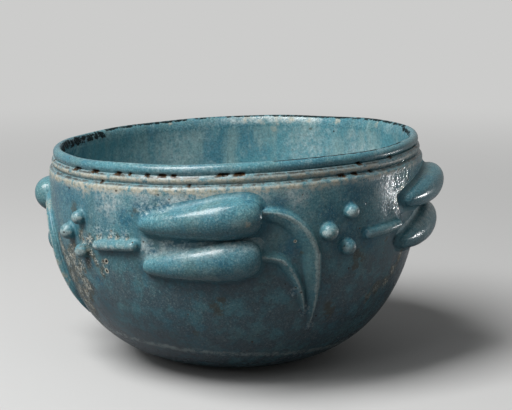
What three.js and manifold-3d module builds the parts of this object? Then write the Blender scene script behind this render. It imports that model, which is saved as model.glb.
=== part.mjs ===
// Faience bowl with lotus buds in relief: a deep round bowl with a rolled lip and one rib
// under it, and four sprays laid on its wall. Each spray is rolled from the same paste and
// luted on piece by piece: two buds, their two curved stems, a bar and three pellets.
// Millimetres, +Z up, the origin at the middle of the small flat that the bowl stands on,
// -Y at the front. The bowl is built plumb, and settle() then gives it the hand-made slope
// of its mouth.
import * as THREE from 'three';
import { mergeVertices } from 'three/addons/utils/BufferGeometryUtils.js';
import Module from 'manifold-3d';

const wasm = await Module();
wasm.setup();

// Bowl
const bowlHeight = 68; // flat to crest of the lip, on the axis
const bellyRadius = 57.4; // of the outer curve where it stands upright
const bellyRise = 3; // it would stand upright this far above the lip
const footRadius = 16; // of the flat
const curveFullness = 2.87; // exponent of the curve from foot to belly: 2 is an ellipse
const wallThickness = 4.4;
const floorThickness = 6;
const mouthSlopeDegrees = 2.3; // the mouth and the sprays stand higher on the +X side
const wallSegments = 64;

// Neck: a lip roll, a rib roll under it, and the rounded edge of the body
const lipRadius = 56;
const lipRollRadius = 1.6;
const ribRadius = 56.5;
const ribRollRadius = 1.45;
const ribDrop = 4.1; // crest of the lip to middle of the rib
const shoulderRoundRadius = 1.5;
const shoulderDrop = 7; // crest of the lip to the middle of that rounding
const rollTurnDegrees = 58; // how far each roll turns in towards a groove
const shoulderTurnDegrees = 75;

// Each piece keeps this joint to what it is luted on, as a thin bed of slip
const seatGap = 0.3;

// Every place in a spray is a run round the wall from the spray's own bearing, towards +X at
// the front, and a drop below the crest of the lip. Outlines are shares of length and radius.
const sprayMiddleDrop = 20; // each spray turns on the wall about this point
const sprayGap = 5.26; // from the end of one spray's stem to the outer pellet of the next

// Buds
const upperBud = { radius: 6, length: 34.6, relief: 6.8, lift: 1.2, buttDrop: 14.4, tipDrop: 16.7 };
const lowerBud = { radius: 5.4, length: 34.2, relief: 6, lift: 0.9, buttDrop: 25.8, tipDrop: 28.9 };
const budButtRun = 7.2;
const budOutlineShares = [
  [0, 0], [0.012, 0.21], [0.05, 0.37], [0.25, 0.63], [0.5, 0.86], [0.7, 1], [0.88, 0.93], [0.97, 0.62], [1, 0],
];
const budStations = 14;
const budSides = 12;

// Stems: each starts inside the butt of its bud and follows shares of its way across and down
const upperStem = { radius: 2.8, relief: 2.2, leanShare: 0.5, endRun: 24.8, endDrop: 49 };
const lowerStem = { radius: 1.7, relief: 1.9, leanShare: 0.2, endRun: 21.6, endDrop: 43.5 };
const stemRoot = 2.5;
const upperStemRunShares = [0.24, 0.49, 0.69, 0.82, 0.87, 0.92];
const upperStemDropShares = [0, 0.06, 0.17, 0.3, 0.46, 0.66];
const lowerStemRunShares = [0.2, 0.43, 0.58, 0.72, 0.86];
const lowerStemDropShares = [0.03, 0.08, 0.2, 0.39, 0.64];
const upperStemWidthShares = [
  [0, 0], [0.01, 0.5], [0.1, 0.72], [0.28, 0.88], [0.5, 1], [0.68, 0.9], [0.88, 0.5], [0.985, 0.2], [1, 0],
];
const lowerStemWidthShares = [[0, 0], [0.02, 0.7], [0.12, 0.85], [0.4, 1], [0.7, 0.85], [0.97, 0.45], [1, 0]];
const upperStemStations = 16;
const lowerStemStations = 12;
const stemSides = 8;

// Bar and pellets
const bar = { radius: 1.55, length: 16.2, relief: 2.3, lift: 0.6, innerRun: -28.6, innerDrop: 22.6, outerDrop: 23.7 };
const pellet = { radius: 2.4, lift: 0.9 };
const pelletRun = -50.9;
const pelletDrop = 21.3; // of the middle of the three
const pelletHalfPitch = 5; // the upper and lower pellet stand this far above and below it
const pelletLead = 6.8; // the third pellet stands this much further out
const barSections = 8;
const pelletSides = 10;
const pelletRings = 8;

// The sprays were laid round the bowl by hand: each is turned and lowered a little, and its
// lower bud may be set back along the wall and sag below its place
const sprays = [
  { name: 'front', bearingDegrees: 0, turnDegrees: 0, fall: 0, lower: { setback: 0, sag: 0 } },
  { name: 'right', bearingDegrees: 84, turnDegrees: 1.5, fall: 0.5, lower: { setback: 0, sag: 0 } },
  { name: 'back', bearingDegrees: 175, turnDegrees: 0.5, fall: 1.5, lower: { setback: 2, sag: 1 } },
  { name: 'left', bearingDegrees: 262, turnDegrees: 0, fall: 2.2, lower: { setback: 3.5, sag: 3.5 } },
];

// The sprays share the whole way round the belly, so their runs spread or close up with it
const sprayWidth = upperStem.endRun - pelletRun + pelletLead + pellet.radius;
const runSpreadShare = (2 * Math.PI * bellyRadius) / (sprays.length * (sprayWidth + sprayGap));

const faience = new THREE.MeshStandardMaterial({ color: 0x4f93a1, roughness: 0.35, metalness: 0 });
const reliefFaience = new THREE.MeshStandardMaterial({ color: 0x5fa3ad, roughness: 0.32, metalness: 0 });

const radians = THREE.MathUtils.degToRad;
const bellyHeight = bowlHeight + bellyRise;
const poleDepth = bellyHeight / (1 - (footRadius / bellyRadius) ** curveFullness) ** (1 / curveFullness);

// Radius of the outer wall at a height.
function wallRadius(height) {
  const share = Math.max(0, bellyHeight - height) / poleDepth;
  return bellyRadius * (1 - Math.min(1, share) ** curveFullness) ** (1 / curveFullness);
}

// A stretch of the full curve that a bowl wall follows, as points from low to high.
function curvePoints(radius, depth, fromRadius, toHeight, steps) {
  const start = Math.asin((fromRadius / radius) ** (curveFullness / 2));
  const end = Math.acos((Math.max(0, bellyHeight - toHeight) / depth) ** (curveFullness / 2));
  return Array.from({ length: steps + 1 }, (_, i) => {
    const angle = start + ((end - start) * i) / steps;
    return new THREE.Vector2(
      radius * Math.sin(angle) ** (2 / curveFullness),
      bellyHeight - depth * Math.cos(angle) ** (2 / curveFullness),
    );
  });
}

function arcPoints(x, y, radius, fromDegrees, toDegrees, steps) {
  const arc = new THREE.EllipseCurve(x, y, radius, radius, radians(fromDegrees), radians(toDegrees));
  return arc.getPoints(steps);
}

// A LatheGeometry turns about +Y, so it is stood up on +Z here, with its start at -Y.
function turned(outline) {
  return new THREE.LatheGeometry(outline, wallSegments).rotateX(Math.PI / 2);
}

function bowlGeometry() {
  const shoulderHeight = bowlHeight - shoulderDrop;
  const outside = curvePoints(bellyRadius, poleDepth, footRadius, shoulderHeight, 13);
  const shoulder = arcPoints(
    wallRadius(shoulderHeight) - shoulderRoundRadius, shoulderHeight, shoulderRoundRadius, 0, shoulderTurnDegrees, 3,
  );
  const rib = arcPoints(
    ribRadius - ribRollRadius, bowlHeight - ribDrop, ribRollRadius, -rollTurnDegrees, rollTurnDegrees, 4,
  );
  const lip = arcPoints(
    lipRadius - lipRollRadius, bowlHeight - lipRollRadius, lipRollRadius, -rollTurnDegrees, 180, 8,
  );
  const inside = curvePoints(bellyRadius - wallThickness, bellyHeight - floorThickness, 0, shoulderHeight, 13);
  return turned([
    new THREE.Vector2(0, 0), ...outside, ...shoulder.slice(1), ...rib, ...lip, ...inside.reverse(),
  ]);
}

// The outer wall grown by the joint, which trims the back of everything laid on it.
function seatGeometry() {
  const wall = curvePoints(bellyRadius, poleDepth, footRadius, bowlHeight, 16);
  const grown = wall.map((point, i) => {
    const before = wall[Math.max(i - 1, 0)];
    const after = wall[Math.min(i + 1, wall.length - 1)];
    const along = after.clone().sub(before).normalize();
    return new THREE.Vector2(point.x + seatGap * along.y, point.y - seatGap * along.x);
  });
  const under = new THREE.Vector2(0, grown[0].y);
  const over = new THREE.Vector2(0, grown[grown.length - 1].y);
  return turned([under, ...grown, over]);
}

// The point that stands out from the wall at a spray's run and drop.
function onWall(spray, run, drop, out) {
  const middle = new THREE.Vector2(0, sprayMiddleDrop);
  const place = new THREE.Vector2(run, drop).rotateAround(middle, radians(spray.turnDegrees));
  const height = bowlHeight - place.y - spray.fall;
  const slope = (wallRadius(height + seatGap) - wallRadius(height - seatGap)) / (2 * seatGap);
  const lean = Math.hypot(1, slope);
  const radius = wallRadius(height) + out / lean;
  const angle = radians(spray.bearingDegrees) + (place.x * runSpreadShare) / bellyRadius;
  return new THREE.Vector3(radius * Math.sin(angle), -radius * Math.cos(angle), height - (out * slope) / lean);
}

// Moves each vertex of a geometry by a function from its own place to its new one.
function reshaped(geometry, move) {
  const position = geometry.getAttribute('position');
  const vertex = new THREE.Vector3();
  for (let i = 0; i < position.count; i++) {
    const moved = move(vertex.fromBufferAttribute(position, i));
    position.setXYZ(i, moved.x, moved.y, moved.z);
  }
  return geometry;
}

// A tapering roll of paste along +Y, its middle at the origin. grow makes it larger all round.
function taperedRoll(outlineShares, radius, length, stations, sides, grow) {
  const smooth = new THREE.SplineCurve(outlineShares.map(([along, across]) =>
    new THREE.Vector2(across * radius, (along - 0.5) * length)));
  const outline = smooth.getPoints(stations).map((point, i) => {
    const isEnd = i === 0 || i === stations;
    const end = Math.sign(point.y) * (length / 2 + grow);
    return isEnd ? new THREE.Vector2(0, end) : new THREE.Vector2(point.x + grow, point.y);
  });
  return new THREE.LatheGeometry(outline, sides);
}

// Lays a straight piece, along +Y with its middle at the origin, on a path on the wall. Its
// +Z side faces out, and its +X side lies below the path, or inside its bend.
function laid(geometry, spray, path, { radius, relief, lift = 0, leanShare = 0 }) {
  const length = path.getLength();
  const flatness = (relief - lift) / radius;
  return reshaped(geometry, (v) => {
    const share = THREE.MathUtils.clamp(v.y / length + 0.5, 0, 1);
    const middle = path.getPointAt(share);
    const along = path.getTangentAt(share);
    const past = v.y - (share - 0.5) * length;
    const across = v.x - v.z * leanShare;
    return onWall(
      spray,
      middle.x + along.x * past - along.y * across,
      middle.y + along.y * past + along.x * across,
      lift + v.z * flatness,
    );
  });
}

function solidOf(geometry) {
  const bare = geometry.clone();
  bare.deleteAttribute('normal');
  bare.deleteAttribute('uv');
  const merged = mergeVertices(bare);
  return new wasm.Manifold(new wasm.Mesh({
    numProp: 3,
    vertProperties: merged.getAttribute('position').array,
    triVerts: new Uint32Array(merged.index.array),
  }));
}

function geometryOf(solid) {
  const { vertProperties, triVerts } = solid.getMesh();
  return new THREE.BufferGeometry()
    .setAttribute('position', new THREE.BufferAttribute(vertProperties, 3))
    .setIndex(new THREE.BufferAttribute(triVerts, 1));
}

// The slope of the mouth grows from nothing at the flat to its whole at the lip.
function settle(geometry) {
  const slope = Math.tan(radians(mouthSlopeDegrees));
  const settled = reshaped(geometry, (v) => {
    const share = THREE.MathUtils.clamp(v.z / bowlHeight, 0, 1);
    return v.setZ(v.z + v.x * slope * share * (2 - share));
  });
  settled.computeVertexNormals();
  return settled;
}

function budSolid(bud, spray, { setback = 0, sag = 0, grow = 0 } = {}) {
  const path = new THREE.LineCurve(
    new THREE.Vector2(budButtRun - setback - bud.length, bud.tipDrop + sag),
    new THREE.Vector2(budButtRun - setback, bud.buttDrop + sag),
  );
  const straight = taperedRoll(budOutlineShares, bud.radius, path.getLength(), budStations, budSides, grow);
  return solidOf(laid(straight, spray, path, bud));
}

function stemPath(stem, bud, runShares, dropShares, { setback = 0, sag = 0 } = {}) {
  const start = new THREE.Vector2(budButtRun - setback - stemRoot, bud.buttDrop + sag);
  const end = new THREE.Vector2(stem.endRun, stem.endDrop);
  const between = runShares.map((share, i) => new THREE.Vector2(
    THREE.MathUtils.lerp(start.x, end.x, share),
    THREE.MathUtils.lerp(start.y, end.y, dropShares[i]),
  ));
  return new THREE.SplineCurve([start, ...between, end]);
}

function upperStemSolid(spray, grow = 0) {
  const path = stemPath(upperStem, upperBud, upperStemRunShares, upperStemDropShares);
  const straight = taperedRoll(
    upperStemWidthShares, upperStem.radius, path.getLength(), upperStemStations, stemSides, grow,
  );
  return solidOf(laid(straight, spray, path, upperStem));
}

function lowerStemSolid(spray) {
  const path = stemPath(lowerStem, lowerBud, lowerStemRunShares, lowerStemDropShares, spray.lower);
  const straight = taperedRoll(
    lowerStemWidthShares, lowerStem.radius, path.getLength(), lowerStemStations, stemSides, 0,
  );
  return solidOf(laid(straight, spray, path, lowerStem));
}

function barSolid(spray) {
  const path = new THREE.LineCurve(
    new THREE.Vector2(bar.innerRun - bar.length, bar.outerDrop),
    new THREE.Vector2(bar.innerRun, bar.innerDrop),
  );
  const straight = new THREE.CapsuleGeometry(
    bar.radius, path.getLength() - 2 * bar.radius, 3, stemSides, barSections,
  );
  return solidOf(laid(straight, spray, path, bar));
}

function pelletSolid(spray, run, drop) {
  const ball = new THREE.SphereGeometry(pellet.radius, pelletSides, pelletRings);
  return solidOf(reshaped(ball, (v) => onWall(spray, run + v.x, drop - v.y, pellet.lift + v.z)));
}

const bowl = new THREE.Group();
const seat = solidOf(seatGeometry());

function addPiece(name, geometry, material) {
  const piece = new THREE.Mesh(settle(geometry), material);
  piece.name = name;
  bowl.add(piece);
}

// Trims a laid piece against the wall and against whatever it butts up to.
function addRelief(name, solid, neighbours = []) {
  const trimmed = [seat, ...neighbours].reduce((rest, other) => rest.subtract(other), solid);
  addPiece(name, geometryOf(trimmed), reliefFaience);
}

function addSpray(spray) {
  const { name, lower } = spray;
  addRelief(`${name}_upper_bud`, budSolid(upperBud, spray));
  addRelief(`${name}_lower_bud`, budSolid(lowerBud, spray, lower));
  addRelief(`${name}_upper_stem`, upperStemSolid(spray), [budSolid(upperBud, spray, { grow: seatGap })]);
  addRelief(`${name}_lower_stem`, lowerStemSolid(spray), [
    budSolid(lowerBud, spray, { ...lower, grow: seatGap }), upperStemSolid(spray, seatGap),
  ]);
  addRelief(`${name}_bar`, barSolid(spray));
  addRelief(`${name}_upper_pellet`, pelletSolid(spray, pelletRun, pelletDrop - pelletHalfPitch));
  addRelief(`${name}_outer_pellet`, pelletSolid(spray, pelletRun - pelletLead, pelletDrop));
  addRelief(`${name}_lower_pellet`, pelletSolid(spray, pelletRun, pelletDrop + pelletHalfPitch));
}

addPiece('bowl_body', bowlGeometry(), faience);
sprays.forEach(addSpray);

export default bowl;
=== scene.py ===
"""Looks of a glazed faience bowl with lotus buds in relief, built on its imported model.

Everything is in metres, in the model's own frame: +Z up, -Y at the front, the origin at the
middle of the flat that the bowl stands on.
"""
import math
from collections import namedtuple
from functools import partial

import bmesh
import bpy
import numpy as np
from bpy.props import FloatProperty, FloatVectorProperty, PointerProperty
from mathutils import Matrix, Vector, noise


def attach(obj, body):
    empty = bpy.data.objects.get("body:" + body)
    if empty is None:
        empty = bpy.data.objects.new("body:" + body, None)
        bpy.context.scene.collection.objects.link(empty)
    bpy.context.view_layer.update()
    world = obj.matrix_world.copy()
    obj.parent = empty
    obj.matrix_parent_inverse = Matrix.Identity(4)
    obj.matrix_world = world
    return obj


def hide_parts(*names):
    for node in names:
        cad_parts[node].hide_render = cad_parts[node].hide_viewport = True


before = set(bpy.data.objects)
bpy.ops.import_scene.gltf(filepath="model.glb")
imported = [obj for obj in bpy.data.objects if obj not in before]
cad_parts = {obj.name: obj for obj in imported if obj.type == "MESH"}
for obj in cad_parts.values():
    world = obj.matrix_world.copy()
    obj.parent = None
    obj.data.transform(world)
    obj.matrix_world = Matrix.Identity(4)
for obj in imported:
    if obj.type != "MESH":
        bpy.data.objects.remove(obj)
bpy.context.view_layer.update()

bl_info = {
    "name": "Faience lotus bowl",
    "version": (1, 0, 0),
    "blender": (4, 5, 0),
    "location": "3D View > Sidebar > Lotus bowl",
    "description": "Builds a glazed faience bowl with sprays of lotus buds laid on its wall",
    "category": "Object",
}

MM = 0.001
TOUCH = 0.001 * MM  # points nearer than this are one point
ROUND_STEPS = 480  # faces round the bowl
FILLET_STEPS = 8  # points down a fillet


def linear(hex_colour):
    """The linear colour of an sRGB hex value."""
    shares = [int(hex_colour[i : i + 2], 16) / 255 for i in (1, 3, 5)]
    return tuple(s / 12.92 if s <= 0.04045 else ((s + 0.055) / 1.055) ** 2.4 for s in shares) + (1.0,)


def length(name, description, millimetres):
    """A length that a user can change."""
    return FloatProperty(
        name=name, description=description, default=millimetres * MM, unit="LENGTH", precision=5
    )


def colour(name, description, hex_colour):
    """A colour that a user can change."""
    return FloatVectorProperty(
        name=name, description=description, default=linear(hex_colour),
        size=4, min=0, max=1, subtype="COLOR",
    )


def power(name, description, watts):
    """The power of a lamp, which a user can change."""
    return FloatProperty(
        name=name, description=description, default=watts, min=0, precision=5, unit="POWER"
    )


class BowlSizes(bpy.types.PropertyGroup):
    """Sizes of the turned bowl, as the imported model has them"""

    bowl_height: length("Height", "Flat to crest of the lip, on the axis", 68)
    belly_radius: length("Belly radius", "Of the outer curve where it stands upright", 57.4)
    belly_rise: length("Belly rise", "It would stand upright this far above the lip", 3)
    foot_radius: length("Foot radius", "Of the flat that the bowl stands on", 16)
    curve_fullness: FloatProperty(
        name="Fullness", description="Exponent of the curve from foot to belly", default=2.87
    )
    wall_thickness: length("Wall", "Thickness of the wall at the belly", 4.4)
    floor_thickness: length("Floor", "Thickness under the middle", 6)
    mouth_slope: FloatProperty(
        name="Mouth slope", description="The mouth is higher on the +X side",
        default=math.radians(2.3), subtype="ANGLE",
    )
    lip_radius: length("Lip radius", "To the outside of the lip roll", 56)
    lip_roll: length("Lip roll", "Radius of the lip roll", 1.6)
    rib_radius: length("Rib radius", "To the outside of the rib", 56.5)
    rib_roll: length("Rib roll", "Radius of the rib", 1.45)
    rib_drop: length("Rib drop", "Crest of the lip to the middle of the rib", 4.1)
    shoulder_round: length("Shoulder round", "Radius of the rounded edge of the body", 1.5)
    shoulder_drop: length("Shoulder drop", "Crest of the lip to the middle of that rounding", 7)
    unevenness: length("Unevenness", "How far the hand-shaped wall strays from true", 0.2)


class SpraySizes(bpy.types.PropertyGroup):
    """Sizes of one spray of buds, laid out as runs round the wall and drops below the lip"""

    middle_drop: length("Middle", "Each spray turns on the wall about this drop", 20)
    butt_run: length("Butt run", "From the spray's bearing to the butt of its buds", 7.2)
    upper_bud_radius: length("Upper bud radius", "Half its greatest width", 5.6)
    upper_bud_length: length("Upper bud length", "Tip to butt", 34.6)
    upper_bud_relief: length("Upper bud relief", "How far it stands out", 6.8)
    lower_bud_radius: length("Lower bud radius", "Half its greatest width", 5.75)
    lower_bud_length: length("Lower bud length", "Tip to butt", 34.2)
    lower_bud_relief: length("Lower bud relief", "How far it stands out", 6)
    upper_stem_radius: length("Upper stem radius", "Half its greatest width", 2.8)
    upper_stem_relief: length("Upper stem relief", "How far it stands out", 2.2)
    lower_stem_radius: length("Lower stem radius", "Half its greatest width", 1.7)
    lower_stem_relief: length("Lower stem relief", "How far it stands out", 1.9)
    bar_radius: length("Bar radius", "Half its width", 1.55)
    bar_length: length("Bar length", "End to end", 16.2)
    bar_relief: length("Bar relief", "How far it stands out", 2.3)
    pellet_radius: length("Pellet radius", "Of each of the three pellets", 2.4)
    pellet_lift: length("Pellet lift", "Of the middle of a pellet above the wall", 0.9)
    bud_fillet: length("Bud fillet", "Radius of the slip and glaze at the root of a bud", 1.9)
    fillet: length("Fillet", "Radius of it at the root of a stem, bar or pellet", 1)
    bed: length("Bed", "How far the back of a piece lies under the wall's face", 0.35)


class GlazeColours(bpy.types.PropertyGroup):
    """Colours of the glaze, of its wear and of what lies in it, and of shade and highlight painted on it"""

    turquoise: colour("Turquoise", "The glaze at its usual thickness", "#578F9A")
    deep: colour("Deep blue", "The glaze where it is thick", "#336B80")
    green: colour("Grey green", "The glaze where it has weathered", "#668E90")
    # Also painted highlight along the crests of the stems, bar and pellets
    pale: colour("Pale", "The glaze worn thin over the paste", "#A9BEBC")
    # Darker grey-blue towards the bottom of the wall, which on its shaded side is painted shade
    low_dark_tone: colour("Ash", "Grey bloom on the lower wall", "#4A5B64")
    # Also the colour of painted shade: on the lower left and the right of the wall, below the pieces and
    # under the buds
    pool: colour("Pool", "Glaze gathered in the angle beside a piece", "#255463")
    # Also painted highlight: at the butt of the front upper bud, along the left upper stem and on the far
    # inner rim
    cream: colour("Cream", "Deposit in the grooves and pits", "#CFCDBE")
    tan: colour("Tan", "Stained deposit", "#8E8A74")
    rust: colour("Rust", "Iron stain in the larger pits", "#4A351F")
    bare: colour("Bare", "Dark paste where the glaze is chipped away", "#0C1416")
    olive: colour("Olive", "Patches of brown-green stain", "#4C4B38")
    # Also painted sheen and highlight: on the upper front wall, between the front buds, on the lower buds'
    # upper side, on the crests of bars and pellets and on the far inner rim
    frost_and_sheen: colour("Frost", "Cool white bloom where the glaze has weathered to a crust", "#C2D0CF")
    azure: colour("Azure", "The clearest and thickest patches of glaze", "#22687F")
    # Also painted shade along the bottom of the grooves
    grime_and_shade_tone: colour("Grime", "Dirt along the bottom of the grooves", "#34352F")


class StageLook(bpy.types.PropertyGroup):
    """Floor, background and lamps"""

    floor_shown: colour("Floor", "The floor as it is seen", "#CCCCCB")
    floor_bounce: colour("Floor bounce", "The floor as it lights the bowl", "#5A595C")
    key_power: power("Key", "Of the large lamp at the upper left", 12.6)
    front_power: power("Front", "Of the weak lamp in front", 1.3)
    spark_power: power("Spark", "Of the small low lamp at the right", 0.0011)
    fill: FloatProperty(name="Fill", description="Strength of the even light all round", default=0.16, min=0)
    mirrored: FloatProperty(
        name="Mirrored", description="How far the glaze mirrors the pale floor", default=0.35, min=0, max=1
    )


# Bearing and turn in degrees, the rest in millimetres: how far the whole spray is lowered, and
# how far its lower bud is set back along the wall and sags below its place
Spray = namedtuple("Spray", "name bearing turn fall setback sag")
SPRAYS = (
    Spray("front", 0, 0, 0, 0, 0),
    Spray("right", 84, 1.5, 0.5, 0, 0),
    Spray("back", 175, 0.5, 1.5, 2, 1),
    Spray("left", 262, 0, 2.2, 3.5, 3.5),
)

# Places in a spray, in millimetres of run and drop: where each piece starts and ends
UPPER_BUD_DROPS = (16.5, 14.2)
LOWER_BUD_DROPS = (28.55, 25.45)
UPPER_STEM_END = (24.8, 49)
LOWER_STEM_END = (21.6, 43.5)
STEM_ROOT = 2.5
BAR_INNER = (-28.6, 22.6)
BAR_OUTER_DROP = 23.7
# Pellets: run and drop in millimetres, and size as a share of the largest
PELLETS = {
    "upper_pellet": (-50.9, 16.3, 0.84),
    "outer_pellet": (-57.7, 21.3, 1),
    "lower_pellet": (-50.9, 26.3, 0.92),
}

# Outlines, as shares of length and radius, and stem lines, as shares of the way across and down
BUD_OUTLINE = (
    (0, 0), (0.012, 0.21), (0.05, 0.37), (0.25, 0.63), (0.5, 0.86), (0.7, 1), (0.88, 0.93), (0.97, 0.62),
    (1, 0),
)
UPPER_STEM_OUTLINE = (
    (0, 0), (0.01, 0.5), (0.1, 0.72), (0.28, 0.88), (0.5, 1), (0.68, 0.9), (0.88, 0.5), (0.985, 0.2), (1, 0),
)
LOWER_STEM_OUTLINE = ((0, 0), (0.02, 0.7), (0.12, 0.85), (0.4, 1), (0.7, 0.85), (0.97, 0.45), (1, 0))
UPPER_STEM_LINE = ((0.24, 0), (0.49, 0.06), (0.69, 0.17), (0.82, 0.3), (0.87, 0.46), (0.92, 0.66))
LOWER_STEM_LINE = ((0.2, 0.03), (0.43, 0.08), (0.58, 0.2), (0.72, 0.39), (0.86, 0.64))

# Marks on the wall, each as bearing in degrees, and height and reach in millimetres.
# Pitted is glaze with burst bubbles, crusted its crackled white and brown patches, pooled and shaded
# its thick ones together with painted shade, clear its deep blue ones, hazed and lit a thin pale haze
# together with painted sheen and light, dusted a deposit, and glinting a ripple that catches the light
PITTED = (
    (-43, 48, 2.6), (-38, 47.6, 2.4), (-33, 48, 2), (-50, 45.5, 2.4), (-26, 56, 3), (-21, 57, 3),
    (-25, 44.5, 2.6), (-19, 46, 2.4), (-14, 45.8, 2.2), (-8, 46.4, 2), (18, 31, 2.2), (22, 25, 2.2),
    (25, 19.5, 2), (49, 52, 3), (118, 52, 4), (122, 49, 4), (126, 46, 3), (199, 56, 3), (203, 53, 3.5),
    (206, 50, 3.5),
)
CRUSTED = (
    (-70, 42, 2.4), (-68.5, 39, 3.2), (-66, 35.5, 3.8), (-65, 31, 4), (-63, 27, 4), (-63.5, 23, 3.4),
    (-63, 19, 3), (-65, 15, 2.4), (-58, 41.6, 2.8), (-60.4, 37.5, 4), (-58, 33.5, 4.2), (-55, 30, 4),
    (-58, 26.5, 3.6), (-60, 22, 3), (-55, 36.5, 3.2), (-50, 43, 2), (-47.5, 41, 2.2), (-46, 38.6, 2),
    (-50, 37.5, 2.2), (-43, 38, 1.6), (-44, 35.6, 1.6), (-42.7, 46.2, 1.4), (-38.6, 47, 1.3),
    (-35.9, 47.5, 1.3), (-32.3, 47.2, 1.1), (-47.5, 45.3, 2), (-52, 46, 2), (48, 24.5, 1.8), (51, 27, 2.4),
    (56, 27.8, 2.6), (59, 31, 2.4), (62, 34.5, 2.2), (65, 38, 2.2),
)
# Burst pits with a pale ring: bearing, height, and the reach of the ring in millimetres
RINGED = ((-41.4, 39.4, 0.85), (-42, 36.4, 0.85), (16.5, 45.9, 0.5), (-6, 37, 0.5), (131, 41, 0.8))
# Thick glaze, and painted shade on the lower left and the right of the wall
POOLED_AND_SHADED = (
    (-40, 11, 11), (-54, 12, 9), (-28, 12, 9), (55, 41, 7), (64, 36, 7), (200, 14, 12), (120, 14, 10),
    (-69, 38, 5), (-64, 30, 6), (-58, 24, 7), (-48, 24, 6),
)
STAINED = (
    (-29.2, 54.4, 2), (-15, 61, 1.8), (50, 41.4, 1.4), (-13.6, 18.8, 1.3), (-12.9, 23, 1.1), (38.3, 37.6, 4),
    (18.7, 42.3, 0.9), (-5, 27.5, 4), (60, 57, 2), (88, 50, 2.5), (-55, 54, 3), (148, 57, 2.5), (187, 30, 4),
    (222, 57, 2), (247, 40, 3), (110, 33, 3), (31, 24, 3),
)
STAINED_INSIDE = ((153, 65.4, 1.3), (151, 64, 1), (228, 52, 4), (60, 50, 4), (330, 48, 4))
BLOOMED_INSIDE = ((205, 58, 16), (222, 52, 14), (150, 58, 14), (128, 56, 10), (60, 50, 14), (300, 50, 14))
CLEAR = (
    (-47.3, 44.6, 1.6), (-53, 38.6, 2.2), (-48.3, 37.5, 1.6), (-44.4, 38.6, 1.3), (-47.2, 33, 2),
    (-40.4, 38, 1.1), (32, 45, 6), (26, 52, 5), (-27, 55.5, 4.5), (-22, 57.5, 3), (-33, 52.5, 4),
    (7, 54, 4.5), (12, 56, 4), (3, 58.5, 2.5), (-66, 56, 8), (-58, 58, 6), (-71, 50, 8), (-12, 46.2, 1.6),
    (-18, 45.8, 1.6), (-24, 45, 2), (-4, 41, 5), (15, 44, 4), (34, 56, 5), (42, 44, 5), (70, 60, 5),
    (92, 56, 6), (135, 58, 6), (160, 40, 8), (205, 36, 8), (235, 52, 7),
)
DUSTED = (
    (-8, 59.8, 3), (-3, 60.2, 3), (-14, 61, 2.6), (-40, 60.2, 3), (-48, 59.5, 3.5), (4, 60, 2.5),
    (22, 60.5, 2.5), (100, 60, 3), (128, 59.5, 3.5), (170, 60, 3), (214, 60.5, 3), (252, 60, 3),
    (13.2, 44, 0.9),
)
# Deposit on the relief, with painted highlight at the butt of the front upper bud and along the left upper
# stem
DUSTED_AND_LIT_RELIEF = (
    (2.6, 52.6, 0.9), (-83, 49, 3), (-81, 45, 3), (-79, 41, 3), (-77.5, 37, 3), (-76, 33, 3), (-75, 29, 2.5),
    (170, 50, 3), (182, 38, 3), (96, 44, 2.5), (258, 36, 2.5),
)
# Thin pale haze, with painted sheen on the upper front wall and painted light on the strip between the front
# buds
HAZED_AND_LIT = (
    (2, 59, 7), (-6, 59, 8), (-16, 59, 8), (-26, 59, 5), (-38, 58, 6), (16, 59, 5), (110, 55, 10),
    (150, 57, 9), (196, 55, 10), (240, 55, 10), (262, 52, 8), (-26, 45, 3), (-20, 45.6, 2.5), (-14, 46, 2),
    (-8, 46.2, 1.8), (-3, 46, 1.6), (8, 60.5, 3), (0, 61, 3), (-8, 61.2, 3), (-16, 61, 3),
)
# Painted highlight along the inner edge of the far lip
INNER_RIM_HIGHLIGHT = ((180, 66, 6), (172, 66, 7), (164, 66, 7), (157, 66, 6), (150, 66, 4))
# Deposit inside, with painted highlight along the far inner rim
DUSTED_AND_LIT_INSIDE = (
    (176, 66.8, 1.6), (170, 66.6, 2), (164, 66.4, 2.4), (159, 66.6, 2), (152, 66.8, 1.5), (140, 66.8, 1.5),
    (166, 63.5, 1.6), (205, 66.8, 1.2), (120, 66.6, 1.4), (60, 66, 1.5), (300, 66, 1.5),
)
GLINTING = ((54.5, 59, 4.5), (56.5, 56, 4), (53, 51, 3), (59, 60.5, 4), (55, 48, 3))
ON_WALL = {
    "pitted": PITTED, "crusted": CRUSTED, "pooled": POOLED_AND_SHADED, "stained": STAINED, "clear": CLEAR,
    "bloomed": HAZED_AND_LIT, "glinting": GLINTING,
}
# How much of a wall mark shows on the relief: the others reach only its foot
ON_RELIEF = {"pitted": 0.8, "glinting": 0.4, "clear": 0.7, "stained": 1, "crusted": 0.45}
# Pale bands round the wall: height and reach in millimetres, and how pale
HAZE_BANDS = ((61, 2.2, 0.85), (64.6, 1, 0.7))
HAZE_TOP = 66
# The wall below this height is darker, more the lower it is; on the shaded side this is painted shade
LOW_DARK_TOP, LOW_DARK_FADE = 52, 20
# Bearings in degrees of the side with the most deposit and of the shaded side
DEPOSIT_SIDE, SHADE_SIDE = 318, 40
# Depth of a pit and of a chip, in millimetres, and degrees in which a row of chips starts and ends
PIT_DEPTH, CHIP_DEPTH, CHIP_FADE = 0.35, 0.15, 4
# Chips along the lip: from and to a bearing in degrees, then in millimetres from the crest of the
# lip inwards, the middle and reach of the chipped band, and how much of it is gone
CHIPS = (
    (8, 50, -0.25, 0.5, 0.95), (46, 64, 0, 0.6, 0.95), (60, 78, 0.7, 0.8, 0.74), (74, 102, 1.5, 1, 0.78),
    (96, 170, 0.4, 0.8, 0.8), (166, 198, 0.4, 0.7, 0.66), (194, 236, 0.5, 0.9, 0.74),
    (232, 292, 1.9, 1.8, 0.8), (288, 304, 1.5, 1, 0.5), (298, 362, 0.3, 0.6, 0.5),
)
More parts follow.
